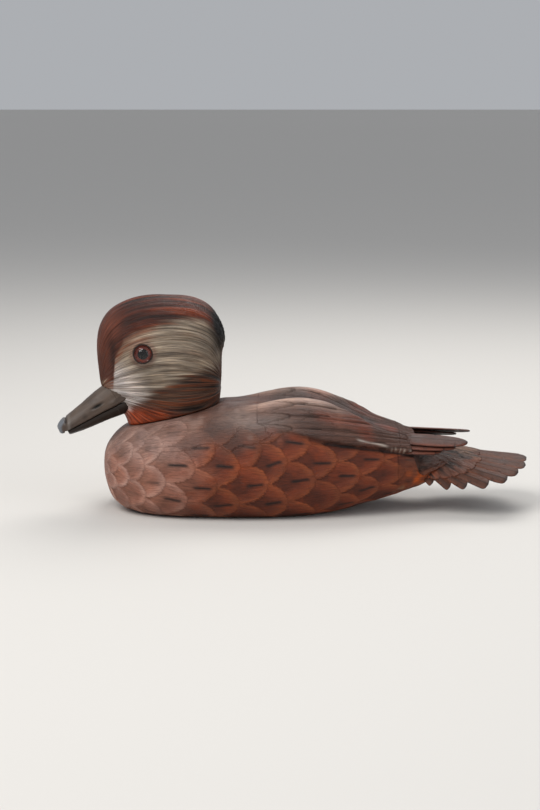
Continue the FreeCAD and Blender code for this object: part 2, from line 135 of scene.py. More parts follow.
class Skin:
    """A closed grid over a rounded form: rows from the front pole to the rear pole, columns round its spine.
    Angle 0 is up and positive angles are on the left side."""

    def __init__(self, names, front, rear, rows, columns, only=None, passes=10, caps=0.27):
        front, rear, up = (np.array(v, float) for v in (front, rear, (0, 0, 1)))
        axis = rear - front
        spine = np.linalg.norm(axis)
        axis = axis / spine
        up = up - axis * (up @ axis)
        up = up / np.linalg.norm(up)
        side = np.cross(up, axis)
        self.angle = np.linspace(-math.pi, math.pi, columns, endpoint=False)
        ends = int(rows * caps)
        turn = np.concatenate([np.linspace(0, 0.5, ends, endpoint=False), np.full(rows - 2 * ends, 0.5)])
        turn = math.pi * np.concatenate([turn, np.linspace(0.5, 1, ends)])
        share = np.concatenate([np.zeros(ends), np.linspace(0, 1, rows - 2 * ends), np.ones(ends)])
        ring = np.cos(self.angle)[:, None] * up - np.sin(self.angle)[:, None] * side
        out = -np.cos(turn)[:, None, None] * axis + np.sin(turn)[:, None, None] * ring
        root = (front + axis * spine * share[:, None])[:, None, :] + 0 * out
        tree, owners = solid_tree(names)
        reach = np.zeros(out.shape[:2])
        hidden = np.zeros(out.shape[:2], bool)
        for i in range(rows):
            for j in range(columns):
                start_at = Vector(root[i, j] + OUTSIDE * out[i, j])
                hit, _, face, distance = tree.ray_cast(start_at, Vector(-out[i, j]))
                reach[i, j] = OUTSIDE - distance if hit else 0
                hidden[i, j] = hit is None or (only is not None and owners[face] != only)
        reach = fill(reach, hidden)
        for _ in range(passes):
            reach = blur(reach)
        reach[0], reach[-1] = reach[0].mean(), reach[-1].mean()
        self.points = root + out * reach[..., None]
        self.out = out
        self.refresh()

    def refresh(self):
        """Works out normals and distances again after the points have moved."""
        down_rows = np.gradient(self.points, axis=0)
        round_columns = (np.roll(self.points, -1, 1) - np.roll(self.points, 1, 1)) / 2
        normal = np.cross(round_columns, down_rows)
        length = np.linalg.norm(normal, axis=-1, keepdims=True)
        normal = np.where(length > 1e-9, normal / np.maximum(length, 1e-9), self.out)
        flip = np.sign((normal * self.out).sum(-1, keepdims=True))
        self.normal = normal * np.where(flip == 0, 1, flip)
        steps = np.linalg.norm(np.diff(self.points, axis=0), axis=-1)
        self.run = np.concatenate([np.zeros((1, steps.shape[1])), np.cumsum(steps, axis=0)])

    def push(self, height):
        """Moves the surface out by a grid of heights."""
        height = np.array(height)
        height[0], height[-1] = height[0].mean(), height[-1].mean()
        self.points = self.points + self.normal * height[..., None]
        self.refresh()


def blur(grid):
    """The mean of each value and its neighbours, on a grid that closes round its columns."""
    grid = (np.roll(grid, 1, 1) + 2 * grid + np.roll(grid, -1, 1)) / 4
    padded = np.concatenate([grid[:1], grid, grid[-1:]])
    return (padded[:-2] + 2 * padded[1:-1] + padded[2:]) / 4


def fill(grid, hidden):
    """Smoothly fills in the hidden part of a grid from what is round it."""
    grid = np.where(hidden, grid[~hidden].mean(), grid)
    for _ in range(600 if hidden.any() else 0):
        grid = np.where(hidden, blur(grid), grid)
    return grid


def grid_mesh(name, points, paint, flow, keep=None):
    """A mesh from a grid of points that closes round its columns, with its painted colour and the direction
    of its barbs stored on it."""
    rows, columns = points.shape[:2]
    faces = []
    for i in range(rows - 1):
        for j in range(columns):
            k = (j + 1) % columns
            if keep is None or keep[i, j] or keep[i + 1, k]:
                here, below = i * columns, (i + 1) * columns
                faces.append((here + j, here + k, below + k, below + j))
    mesh = bpy.data.meshes.new(name)
    mesh.from_pydata((points.reshape(-1, 3) * MM).tolist(), [], faces)
    shade = np.concatenate([paint.reshape(-1, 3), np.ones((rows * columns, 1))], axis=1)
    mesh.attributes.new("paint", "FLOAT_COLOR", "POINT").data.foreach_set("color", shade.ravel())
    lie = flow.reshape(-1, 3).ravel()
    mesh.attributes.new("flow", "FLOAT_VECTOR", "POINT").data.foreach_set("vector", lie)
    mesh.update()
    mesh.shade_smooth()
    piece = bpy.data.objects.new(name, mesh)
    bpy.context.collection.objects.link(piece)
    return piece


def shingles(rows, columns, reach, seed):
    """Overlapping round-ended feathers whose tips point along growing rows. Gives, for the feather that
    shows at each point, the place across and along it, the distance in from its rim, and a random
    number of its own."""
    shown = np.zeros(rows.shape, bool)
    across, along, rim, key = (np.zeros(rows.shape) for _ in range(4))
    for back in range(int(reach) + 1, -2, -1):
        row = np.floor(rows) - back
        offset = 0.5 * np.mod(row, 2)
        column = np.round(columns - offset)
        own = random_for(row, column, seed)
        here_across = columns - offset - column + 0.1 * (own - 0.5)
        here_along = rows - row + 0.3 * (random_for(column, row, seed + 3) - 0.5)
        distance = np.sqrt((here_across / 0.57) ** 2 + (np.maximum(here_along, 0) / reach) ** 2)
        take = ~shown & ((distance < 1) | (back == -1))
        across, along = np.where(take, here_across, across), np.where(take, here_along, along)
        rim, key = np.where(take, np.maximum(1 - distance, 0), rim), np.where(take, own, key)
        shown |= take
    return across, along, rim, key


# ---------------------------------------------------------------- materials


def material(name, rough, metal=0.0):
    """A node material and a small helper for adding nodes to it."""
    made = bpy.data.materials.new(name)
    made.use_nodes = True
    nodes, links = made.node_tree.nodes, made.node_tree.links
    shader = nodes["Principled BSDF"]
    shader.inputs["Roughness"].default_value = rough
    shader.inputs["Metallic"].default_value = metal

    def add(kind, values=None, **settings):
        node = nodes.new(kind)
        for key, value in settings.items():
            setattr(node, key, value)
        for key, value in (values or {}).items():
            if isinstance(value, bpy.types.NodeSocket):
                links.new(value, node.inputs[key])
            else:
                node.inputs[key].default_value = value
        return node

    return made, shader, add, links


def mixed(add, factor, first, second, blend="MIX"):
    """A colour mix of two colours or sockets."""
    node = add("ShaderNodeMix", {0: factor}, data_type="RGBA", blend_type=blend)
    for place, value in ((6, first), (7, second)):
        if isinstance(value, bpy.types.NodeSocket):
            node.id_data.links.new(value, node.inputs[place])
        else:
            node.inputs[place].default_value = value
    return node.outputs[2]


def ramp(add, factor, low, high, inverse=False):
    """A number from 0 to 1 as factor goes from low to high."""
    ends = (1.0, 0.0) if inverse else (0.0, 1.0)
    values = {0: factor, 1: low, 2: high, 3: ends[0], 4: ends[1]}
    return add("ShaderNodeMapRange", values, clamp=True).outputs[0]


def carved_paint(name, lines=1.6, depth=0.35, rough=0.46, contrast=0.5):
    """Painted wood with burned barb lines that run along the piece's own flow."""
    made, shader, add, links = material(name, rough)
    paint = add("ShaderNodeAttribute", attribute_name="paint").outputs["Color"]
    flow = add("ShaderNodeAttribute", attribute_name="flow").outputs["Vector"]
    place = add("ShaderNodeTexCoord").outputs["Object"]
    stretch = add("ShaderNodeMapping", {"Vector": flow, "Scale": (lines, lines * 0.07, 1.0)}).outputs[0]
    hair_values = {"Vector": stretch, "Scale": 1.0, "Detail": 3.0, "Roughness": 0.65}
    hairs = add("ShaderNodeTexNoise", hair_values).outputs[0]
    fine = add("ShaderNodeMapping", {"Vector": flow, "Scale": (lines * 2.7, lines * 0.12, 1.0)}).outputs[0]
    threads = add("ShaderNodeTexNoise", {"Vector": fine, "Scale": 1.0, "Detail": 2.0}).outputs[0]
    cloud = add("ShaderNodeTexNoise", {"Vector": place, "Scale": 90.0, "Detail": 4.0}).outputs[0]
    speck = add("ShaderNodeTexNoise", {"Vector": place, "Scale": 1400.0, "Detail": 2.0}).outputs[0]
    dark = ramp(add, hairs, 0.34, 0.56, inverse=True)
    light = ramp(add, threads, 0.52, 0.74)
    burned = mixed(add, 1.0, paint, (0.34, 0.28, 0.25, 1), "MULTIPLY")
    bright = mixed(add, 1.0, paint, (2.0, 1.85, 1.7, 1), "MULTIPLY")
    amount = add("ShaderNodeMath", {0: dark, 1: contrast}, operation="MULTIPLY").outputs[0]
    shade = mixed(add, amount, paint, burned)
    amount = add("ShaderNodeMath", {0: light, 1: contrast * 0.8}, operation="MULTIPLY").outputs[0]
    shade = mixed(add, amount, shade, bright)
    worn = mixed(add, ramp(add, cloud, 0.35, 0.7), (0.82, 0.82, 0.84, 1), (1.14, 1.1, 1.06, 1))
    shade = mixed(add, 0.8, shade, worn, "MULTIPLY")
    oiled = add("ShaderNodeGamma", {"Color": shade, "Gamma": 1.22}).outputs[0]
    links.new(oiled, shader.inputs["Base Color"])
    shader.inputs["Specular IOR Level"].default_value = 0.27
    gloss = add("ShaderNodeMapRange", {0: cloud, 1: 0.3, 2: 0.7, 3: rough - 0.07, 4: rough + 0.1}).outputs[0]
    links.new(gloss, shader.inputs["Roughness"])
    grain = add("ShaderNodeMath", {0: speck, 1: 0.15}, operation="MULTIPLY").outputs[0]
    height = add("ShaderNodeMath", {0: hairs, 1: threads}, operation="ADD").outputs[0]
    height = add("ShaderNodeMath", {0: height, 1: grain}, operation="ADD").outputs[0]
    relief = add("ShaderNodeBump", {"Height": height, "Strength": 1.0, "Distance": depth * MM}).outputs[0]
    links.new(relief, shader.inputs["Normal"])
    return made


def wood(name, light, dark, grain=(1, 14, 14)):
    """Wood with a straight grain, along X unless told otherwise."""
    rough = 0.5
    made, shader, add, links = material(name, rough)
    place = add("ShaderNodeTexCoord").outputs["Object"]
    stretch = add("ShaderNodeMapping", {"Vector": place, "Scale": grain}).outputs[0]
    ring_values = {"Vector": stretch, "Scale": 26.0, "Detail": 5.0, "Distortion": 0.6}
    rings = add("ShaderNodeTexNoise", ring_values).outputs[0]
    pores = add("ShaderNodeTexNoise", {"Vector": stretch, "Scale": 190.0, "Detail": 2.0}).outputs[0]
    shade = mixed(add, ramp(add, rings, 0.35, 0.65), (*colour(light), 1), (*colour(dark), 1))
    shade = mixed(add, ramp(add, pores, 0.5, 0.72), shade, (*(colour(dark) * 0.5), 1))
    links.new(shade, shader.inputs["Base Color"])
    gloss = add("ShaderNodeMapRange", {0: rings, 3: rough - 0.1, 4: rough + 0.12}).outputs[0]
    links.new(gloss, shader.inputs["Roughness"])
    relief = add("ShaderNodeBump", {"Height": pores, "Strength": 0.5, "Distance": 0.0002}).outputs[0]
    links.new(relief, shader.inputs["Normal"])
    return made


def metal(name, base, stain, rough):
    """Dull metal with stains and fine scratches."""
    made, shader, add, links = material(name, rough, 1.0)
    place = add("ShaderNodeTexCoord").outputs["Object"]
    cloud = add("ShaderNodeTexNoise", {"Vector": place, "Scale": 160.0, "Detail": 5.0}).outputs[0]
    pits = add("ShaderNodeTexNoise", {"Vector": place, "Scale": 1500.0, "Detail": 3.0}).outputs[0]
    shade = mixed(add, ramp(add, cloud, 0.4, 0.66), (*colour(base), 1), (*colour(stain), 1))
    links.new(shade, shader.inputs["Base Color"])
    gloss = add("ShaderNodeMapRange", {0: cloud, 3: rough - 0.12, 4: rough + 0.2}).outputs[0]
    links.new(gloss, shader.inputs["Roughness"])
    relief = add("ShaderNodeBump", {"Height": pits, "Strength": 0.6, "Distance": 0.0001}).outputs[0]
    links.new(relief, shader.inputs["Normal"])
    return made


def eye_paint(name, inner, outer, rough):
    """Enamel under the glass, mottled."""
    made, shader, add, links = material(name, rough)
    place = add("ShaderNodeTexCoord").outputs["Object"]
    cloud = add("ShaderNodeTexNoise", {"Vector": place, "Scale": 700.0, "Detail": 4.0}).outputs[0]
    shade = mixed(add, ramp(add, cloud, 0.35, 0.65), (*colour(inner), 1), (*colour(outer), 1))
    links.new(shade, shader.inputs["Base Color"])
    relief = add("ShaderNodeBump", {"Height": cloud, "Strength": 0.3, "Distance": 0.00005}).outputs[0]
    links.new(relief, shader.inputs["Normal"])
    return made


def clear_glass(name):
    """Clear, faintly tinted glass with slight unevenness."""
    made, shader, add, links = material(name, 0.03)
    place = add("ShaderNodeTexCoord").outputs["Object"]
    cloud = add("ShaderNodeTexNoise", {"Vector": place, "Scale": 300.0, "Detail": 2.0}).outputs[0]
    links.new(add("ShaderNodeMapRange", {0: cloud, 3: 0.01, 4: 0.07}).outputs[0], shader.inputs["Roughness"])
    links.new(mixed(add, cloud, (1.0, 0.96, 0.93, 1), (0.96, 0.9, 0.86, 1)), shader.inputs["Base Color"])
    shader.inputs["Transmission Weight"].default_value = 1.0
    shader.inputs["IOR"].default_value = 1.36
    shader.inputs["Specular IOR Level"].default_value = 0.3
    return made


# ---------------------------------------------------------------- body


def wing_line(x):
    """Height of the folded wing's lower edge."""
    return np.interp(x, [-48, -16, 15, 38, 67, 90], [58.5, 52.5, 44.8, 40.2, 35.2, 31.0])


def tail_height(x, y):
    """Height of the arched tail fan."""
    half = np.interp(x, [62, 74, 88, 102, 114, 123, 133], [17, 22, 27.6, 31.4, 31.4, 28, 20])
    crown = np.interp(x, [62, 74, 88, 102, 114, 123, 133], [31.6, 32.4, 32.8, 32.0, 30.4, 29.4, 28.4])
    drop = np.interp(x, [62, 88, 102, 114, 123, 133], [9.6, 14.0, 12.8, 9.4, 6.2, 2.4])
    return crown - drop * np.minimum(np.abs(y) / half, 1.15) ** 2


def neck_distances(points):
    """Distance of points from the neck's axis, and their height above the seat."""
    away = points - np.array(SEAT)
    return np.linalg.norm(np.cross(away, np.array(NECK)), axis=-1), away @ np.array(NECK)


def body_form():
    """The plain body, with the neck's bore closed over."""
    skin = Skin(["body_block", "bottom_board"], (-58, 0, 27), (58, 0, 28.5), 272, 368)
    from_axis, above_seat = neck_distances(skin.points)
    sunk = np.where((from_axis < 9) & (above_seat < 0), above_seat, 0)
    skin.points = skin.points - sunk[..., None] * np.array(NECK)
    skin.refresh()
    return skin


def fold_wings(skin, at):
    """Folded wings: a raised ridge each side of a sunken back, and an edge that stands over the flank."""
    x, y, z = at.x, at.y, at.z
    ridge_y = np.interp(x, [-40, 0, 20, 32, 44, 58], [21, 18.5, 18, 21, 24, 25])
    at.ridge = bump(np.abs(y), ridge_y, 5) * smooth(x, -40, -14) * smooth(-x, -56, -34) * smooth(z, 38, 46)
    at.hollow = smooth(ridge_y - np.abs(y), 0.5, 6.5) * smooth(x, -36, -8)
    at.hollow = at.hollow * smooth(-x, -64, -36) * smooth(z, 40, 50)
    at.over = z - wing_line(x) - 1.0 * noise(triples(x, y), (22, 60, 1), 5)
    at.wing = smooth(at.over, -0.6, 0.8) * smooth(x, -34, -8) * smooth(-x, -90, -74)
    edge_depth = np.interp(x, [-20, 0, 30, 70], [0.1, 0.5, 1.5, 1.8])
    shoulder = bump(z, np.interp(x, [-40, 0, 30], [55, 54, 50]), 4)
    shoulder = shoulder * smooth(x, -44, -20) * smooth(-x, -24, 0)
    height = 1.2 * at.ridge - 1.4 * at.hollow + at.wing * edge_depth
    height -= 0.8 * bump(at.over, -1.2, 1.0) * smooth(x, -10, 25) * smooth(-x, -88, -70)
    height -= 1.0 * shoulder
    skin.push(np.where(at.flat, 0, height))


def cut_feathers(skin, at):
    """Rounded feathers on the breast and flank, and longer, narrower ones on the wings."""
    x, z, wobble = at.x, at.z, 0.22 * noise(at.base, 26, 2)
    pitch_rows = np.interp(at.run, [0, 20, 52, 150, 260], [0, 2.6, 5.8, 12.8, 21])
    columns = at.angle / (2 * math.pi) * 13.0 + 0.5 * wobble
    at.across, at.along, at.rim, at.key = shingles(pitch_rows + wobble, columns, 1.35, 4)
    at.front_fade = smooth(at.run, 9, 26)
    flank_relief = 0.32 * bump(at.rim, 0.1, 0.12) + 0.1 * bump(at.across, 0, 0.1)
    flank_relief -= 0.16 * smooth(at.rim, 0.3, 0.8)
    flank_relief *= (0.75 + 0.5 * smooth(-x, 40, 80)) * at.front_fade

    wing_rows = (x + 60) / np.interp(x, [-50, 10, 60, 100], [11, 17, 26, 30])
    at.w_across, _, at.w_rim, _ = shingles(wing_rows + 0.1 * wobble, at.angle / (2 * math.pi) * 32, 1.8, 9)
    wing_relief = 0.45 * smooth(at.w_rim, 0, 0.2) + 0.2 * bump(at.w_across, 0, 0.07)
    wing_relief -= 0.3 * bump(at.w_rim, 0, 0.04)
    at.on_wing = np.maximum(at.wing, smooth(z, 47, 51) * smooth(x, -26, -6))
    mantle_line = np.interp(x, [-100, -60, -10, 20], [38, 41, 46, 51])
    at.mantle = smooth(z - mantle_line + 5 * noise(at.base, 12, 6), -7, 7) * (1 - at.on_wing)

    relief = at.on_wing * wing_relief * smooth(x, -18, 4)
    relief = relief + (1 - at.on_wing) * flank_relief * (1 - 0.85 * at.mantle) + 0.45 * smooth(-z, -14, -8)
    near_seat = smooth(neck_distances(at.base)[0], 26, 30)
    skin.push(np.where(at.flat, 0, relief * near_seat * smooth(z, 0.2, 3)))
    skin.points[..., 2] = np.maximum(skin.points[..., 2], 0.15)


def sink_rump(skin):
    """Lowers the rump into the tail coverts."""
    x, y, z = (skin.points[..., k] for k in range(3))
    lie = tail_height(x, y) + np.interp(x, [62, 70, 80, 92, 99], [30, 6, 2.2, 0.8, 0.0])
    skin.points[..., 2] = z - np.maximum(z - lie, 0) * (x > 62) * 0.97


def flank_layers(at, breast, blotch):
    """Paint of the breast and flank: pale rims, dark centres and a dark streak down each feather."""
    x, flank = at.x, 1 - at.on_wing
    edge = (bump(at.rim, 0.1, 0.14) + bump(at.rim, 0.0, 0.08) * 0.5) * (0.45 + 0.55 * at.front_fade)
    edge = edge * (0.75 + 0.35 * noise(at.base, 6, 12))
    centre = smooth(at.rim, 0.28, 0.7)
    streak_line = 0.02 + 0.05 * noise(triples(at.key * 90, at.along * 2), 1, 3)
    streak = bump(at.across, streak_line, 0.04) * smooth(at.along, 0.3, 0.5) * smooth(-at.along, -1.2, -1.0)
    streak = streak * np.where(at.key > 0.15, 0.95, 0.1) * smooth(x, -94, -66)
    return [
        ("a87c6c", breast),
        ("bba198", breast * smooth(at.z + 5 * blotch, 24, 44) * 0.85),
        ("a5653f", flank * (1 - breast) * edge * 0.5),
        ("cfb4aa", flank * breast * edge * (0.15 + 0.35 * at.key)),
        ("45200f", flank * (1 - breast) * centre * 0.6),
        ("7a5848", flank * breast * at.front_fade * centre * 0.4),
        ("8a4420", flank * smooth(blotch, 0.1, 0.8) * 0.5 * (1 - 0.7 * breast)),
        ("15100f", flank * streak * (1 - 0.5 * at.mantle)),
    ]


def back_layers(at, breast, blotch, mottle):
    """Paint of the mantle, the wings, the hollow between them and the rump, with painted highlight on the
    ridges and painted shade in the hollow.
    """
    x, z, on_wing = at.x, at.z, at.on_wing
    rear = smooth(x + 3 * blotch, 54, 72)
    rear_side = rear * smooth(-z + 2 * blotch, -33, -24)
    under_tail = smooth(x, 48, 66) * smooth(-z, -19, -14)
    return [
        ("5f4a42", at.mantle * (0.85 - 0.45 * breast)),
        ("8a766e", at.mantle * smooth(blotch + mottle, 0.2, 1.0) * 0.55),
        ("664a3f", on_wing),
        ("93503a", on_wing * smooth(noise(at.base, 13, 11), 0.0, 0.6) * 0.8),
        # painted highlight: a pale band along the top of each wing ridge
        ("bfa89c", at.ridge * 0.8 * smooth(-x, -34, -10)),
        # painted highlight: a pale grey band on the shoulder just below the ridge
        ("8c817c", bump(x, -20, 20) * bump(z, 55, 4) * 0.7),
        # painted shade: the sunken hollow between the wing ridges is darkened
        ("4c3d38", at.hollow * 0.7 * smooth(x, -24, 4)),
        ("7a5444", rear * (1 - on_wing) * 0.8),
        ("7d4527", rear_side * 0.7),
        ("c4661f", bump(x, 68, 7) * bump(z, 21, 5) * smooth(blotch, -0.6, 0.4) * 0.9),
        ("b59c7c", under_tail * smooth(blotch, 0.0, 0.7) * 0.7),
    ]


def wing_layers(at):
    """Paint of the wing feathers: dark rims and shafts, painted shadow as a dark line under the edge, pale
    marks on it.
    """
    x, over = at.x, at.over
    ticks = bump(np.mod(x / 2.4 + 0.4 * noise(at.base, 5, 8), 1), 0.5, 0.2) * bump(over, 0.3, 0.7)
    layers = [
        ("655249", at.on_wing * (1 - smooth(at.w_rim, 0.02, 0.16)) * 0.4),
        ("15100e", at.on_wing * bump(at.w_rim, 0, 0.05) * smooth(x, -14, 6) * 0.5),
        ("1f1613", at.on_wing * bump(at.w_across, 0, 0.05) * smooth(x, -14, 6) * 0.35),
        # painted shadow: a dark line under the wing's overhanging edge
        ("120d0c", bump(over, -0.9, 1.0) * smooth(x, -4, 24) * smooth(-x, -88, -74) * 0.85),
        ("c4bcb2", ticks * smooth(x, 50, 54) * smooth(-x, -70, -66) * 0.6),
    ]
    for begin, finish, first, last in ((33, 45, 2.8, 1.3), (41, 53, 1.9, 0.7)):
        slash = bump(over, np.interp(x, [begin, finish], [first, last]), 0.4)
        slash = slash * smooth(x, begin, begin + 3) * smooth(-x, -finish, 4 - finish)
        layers.append(("d2cbc2", slash * 0.75))
    return layers


def body_skin():
    """The painted body, with breast and flank feathers, folded wings and the hollow down the back."""
    skin = body_form()
    base = skin.points.copy()
    x, y, z = (base[..., k] for k in range(3))
    low_flank = 276  # the grid column whose running length sets the rows of feathers
    at = SimpleNamespace(base=base, x=x, y=y, z=z, flat=z < 0.12)
    at.angle = skin.angle[None, :] + 0 * x
    at.run = skin.run[:, low_flank:low_flank + 1] + 0 * x
    fold_wings(skin, at)
    cut_feathers(skin, at)
    sink_rump(skin)

    mottle = noise(base, 9, 1)
    blotch = noise(base, 4, 7)
    breast = smooth(-x + 8 * mottle, 34, 84)
    layers = flank_layers(at, breast, blotch) + back_layers(at, breast, blotch, mottle) + wing_layers(at)
    paint = painted(x.shape, "84462c", layers) * (1 + 0.16 * (at.key - 0.5) + 0.12 * mottle)[..., None]

    fan = np.where(at.mantle > 0.5, at.angle * 30, at.across * 16 * (1 + 0.5 * at.along))
    flow = triples(np.where(at.on_wing > 0.5, at.w_across * 8, fan), at.run + at.key * 50, at.key * 9)
    piece = grid_mesh("body_skin", skin.points, np.clip(paint, 0, 1), flow, keep=~at.flat)
    piece.data.materials.append(carved_paint("body feathers", lines=1.9, depth=0.3, contrast=0.5))
    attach(piece, "body")
    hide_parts("body_block")


# ---------------------------------------------------------------- head


def turned(points, angle):
    """Points turned about the neck axis."""
    turn = Matrix.Translation(SEAT) @ Matrix.Rotation(angle, 4, NECK) @ Matrix.Translation(-SEAT)
    matrix = np.array(turn)
    return points @ matrix[:3, :3].T + matrix[:3, 3]


def head_form():
    """The head without its eyes and bill, sampled from one middle point."""
    front, rear = (turned(np.array([[x, 0, 69.0]]), HEAD_TURN)[0] for x in (-76.1, -75.9))
    hits = ["head_block", "upper_bill", "lower_bill"]
    hits += [f"{side}_eye_{part}" for side in ("left", "right") for part in ("glass", "putty", "iris")]
    return Skin(hits, front, rear, 250, 392, only="head_block", passes=8, caps=0.5)


def cut_barbs(skin, at):
    """Burned barbs along the head, locks that stand up at the crest, and a sunken socket round each eye."""
    bottom = neck_distances(at.base)[1] < 0.9
    lock = np.floor(at.girth / 1.6)
    tips = np.modf(at.run * 24 + 3 * random_for(lock, 1, 5))[0] ** 2
    height = 0.2 * at.strand + 0.16 * at.hair + 0.25 * at.clump
    height = height * smooth(at.eye, 6.5, 10) * np.where(bottom, 0, 1)
    height += at.crest * (0.9 * tips * random_for(lock, 2, 5) - 0.3)
    height += 0.45 * bump(at.eye, 6.2, 1.2) - 0.3 * bump(at.eye, 8.6, 1.6)
    height -= 4.5 * smooth(-at.eye, -5.4, -4.7)
    skin.push(height)


def cheek_layers(at):
    """Paint of the cheek, the pale patch behind the bill, the dark lower cheek and the orange chin."""
    x, z, strand, hair, clump = at.x, at.z, at.strand, at.hair, at.clump
    low_line = np.interp(x, [-95, -92, -74, -57, -42], [56, 60, 73, 80, 82])
    low = smooth(low_line - z + 1.6 * at.ragged, -3, 4)
    from_bill = np.linalg.norm(at.base - np.array([-102.0, 0, 64.0]), axis=-1)
    pale = smooth(-from_bill, -31, -14) * smooth(x, -109, -102)
    chin = smooth(-x, 62, 86) * smooth(-z, -61, -55)
    return [
        ("3c322c", smooth(strand + 0.7 * hair, 0.1, 0.6) * 0.45),
        ("cbbfae", smooth(-strand + 0.5 * hair, 0.2, 0.6) * 0.45),
        ("7a4a2a", smooth(clump, 0.2, 0.8) * smooth(x, -80, -60) * 0.5),
        ("ece7e6", pale * (0.5 + 0.5 * smooth(-strand, -0.2, 0.5))),
        ("5a3b2a", low * 0.85),
        ("7c4420", low * smooth(hair + 0.5 * strand, 0.2, 0.6) * 0.7),
        ("1e1512", low * smooth(-strand - 0.5 * hair, 0.1, 0.6) * 0.85),
        ("b4500f", chin * (0.75 + 0.2 * strand)),
        ("2c140a", chin * smooth(strand, 0.1, 0.6) * 0.6),
    ]


def cap_layers(at):
    """Paint of the chestnut cap, the crease in front of it, the black crest and the rims of the eyes, and a
    painted sheen on the front of the cap.
    """
    x, z, strand, clump = at.x, at.z, at.strand, at.clump
    line_x = [-104, -103, -98, -93, -86, -78, -65, -53, -44]
    cap_line = np.interp(x, line_x, [73, 86, 96, 100, 102.5, 106, 108, 108, 103])
    cap = smooth(z - cap_line + at.ragged, -1.5, 2.5)
    behind = smooth(x, -106, -96)
    # painted sheen: the front of the cap is made paler, as if light glances off the forehead
    forehead_sheen = cap * smooth(-x, 94, 106)
    crease = bump(x + 0.12 * (z - 70), -101.5, 2.2) * cap * smooth(-z, -106, -92)
    rust = bump(z - cap_line, -1.5, 3.5) * smooth(-x, 74, 90)
    return [
        ("5a2c18", cap),
        ("a0501e", cap * smooth(strand + 0.5 * clump, 0.1, 0.6) * 0.55 * behind),
        ("1e1411", cap * smooth(-strand - 0.4 * clump, 0.1, 0.6) * 0.65 * behind),
        # painted sheen on the forehead
        ("7a4c3c", forehead_sheen * 0.7),
        ("1b1210", crease * (0.6 + 0.3 * strand)),
        ("8f4a20", rust * (0.5 + 0.5 * strand)),
        ("17100e", at.crest * 0.85 + smooth(x, -58, -43) * smooth(z, 94, 106) * 0.5),
        ("8d7468", bump(at.eye, 6.6, 1.2) * 0.7),
        ("1c100e", smooth(-at.eye, -5.7, -5.2)),
    ]


def head_skin():
    """The painted head: barbs that run from the bill over the crown and cheek to the crest."""
    skin = head_form()
    base = turned(skin.points, -HEAD_TURN)
    x, _, z = (base[..., k] for k in range(3))
    at = SimpleNamespace(base=base, x=x, z=z, run=skin.run / skin.run[-1:].mean())
    middle = skin.points[skin.points.shape[0] // 2]
    at.girth = np.cumsum(np.linalg.norm(middle - np.roll(middle, 1, 0), axis=-1))[None, :] + 0 * x
    at.clump = noise(triples(at.girth / 5, at.run * 3), 1, 21)
    at.strand = noise(triples(at.girth / 1.3 + 0.6 * at.clump, at.run * 4), 1, 22)
    at.hair = noise(triples(at.girth / 0.8 + 0.6 * at.clump, at.run * 6), 1, 23)
    at.ragged = 1.8 * at.strand + 1.2 * at.clump
    eyes_at = [np.array([-88.0, side * 21.0, 90.0]) for side in (-1, 1)]
    at.eye = np.minimum(*(np.linalg.norm(base - middle_of_eye, axis=-1) for middle_of_eye in eyes_at))
    at.crest = smooth(x, -52, -43) * smooth(z, 86, 95) * smooth(-z, -116, -108)
    cut_barbs(skin, at)

    paint = painted(x.shape, "978b7c", cheek_layers(at) + cap_layers(at))
    flow = triples(at.girth, at.run * 45, 0)
    piece = grid_mesh("head_skin", skin.points, np.clip(paint, 0, 1), flow)
    look = carved_paint("head feathers", lines=1.25, depth=0.45, contrast=1.0, rough=0.42)
    piece.data.materials.append(look)
    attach(piece, "head")
    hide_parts("head_block")


def ring_mesh(name, centre, look, radius, tube):
    """A soft, slightly flattened ring about a centre, facing along look."""
    flatten = 0.7
    quarter = np.array(Vector(look).to_track_quat("Z", "Y").to_matrix())
    around = np.linspace(0, 2 * math.pi, 72, endpoint=False)
    section = np.linspace(0, 2 * math.pi, 20, endpoint=False)
    a, s = np.meshgrid(around, section, indexing="ij")
    wave = tube * (1 + 0.06 * np.sin(9 * a) + 0.04 * np.sin(17 * a + 1))
    distance = radius + wave * np.cos(s)
    local = triples(distance * np.cos(a), distance * np.sin(a), flatten * wave * np.sin(s))
    points = local @ quarter.T + np.array(centre)
    points = np.concatenate([points, points[:1]])
    tint = np.ones(points.shape) * colour("3a2722")
    turns = np.append(around, 2 * math.pi)[:, None] * 30
    flow = triples(np.broadcast_to(turns, points.shape[:2]), 0.0)
    return grid_mesh(name, points, tint, flow)


def eyes():
    """Materials for the glass eyes, and an eyelid round each."""
    lid_paint = carved_paint("eyelid", lines=2.0, depth=0.15, contrast=0.3)
    glass, iris = clear_glass("eye glass"), eye_paint("iris", "6a1c0c", "8e3014", 0.3)
    pupil = eye_paint("pupil", "050404", "0a0808", 0.2)
    for side in ("left", "right"):
        for part, look in (("glass", glass), ("iris", iris), ("pupil", pupil)):
            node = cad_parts[f"{side}_eye_{part}"]
            node.data.materials.clear()
            node.data.materials.append(look)
        centre = node_points(f"{side}_eye_pupil").mean(0)
        look_to = node_points(f"{side}_eye_glass").mean(0) - centre
        look_to = look_to / np.linalg.norm(look_to)
        lid = ring_mesh(f"{side}_eyelid", centre + look_to * 2.0, look_to, 5.15, 0.4)
        lid.data.materials.append(lid_paint)
        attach(lid, "head")
        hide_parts(f"{side}_eye_putty")


# ---------------------------------------------------------------- bill


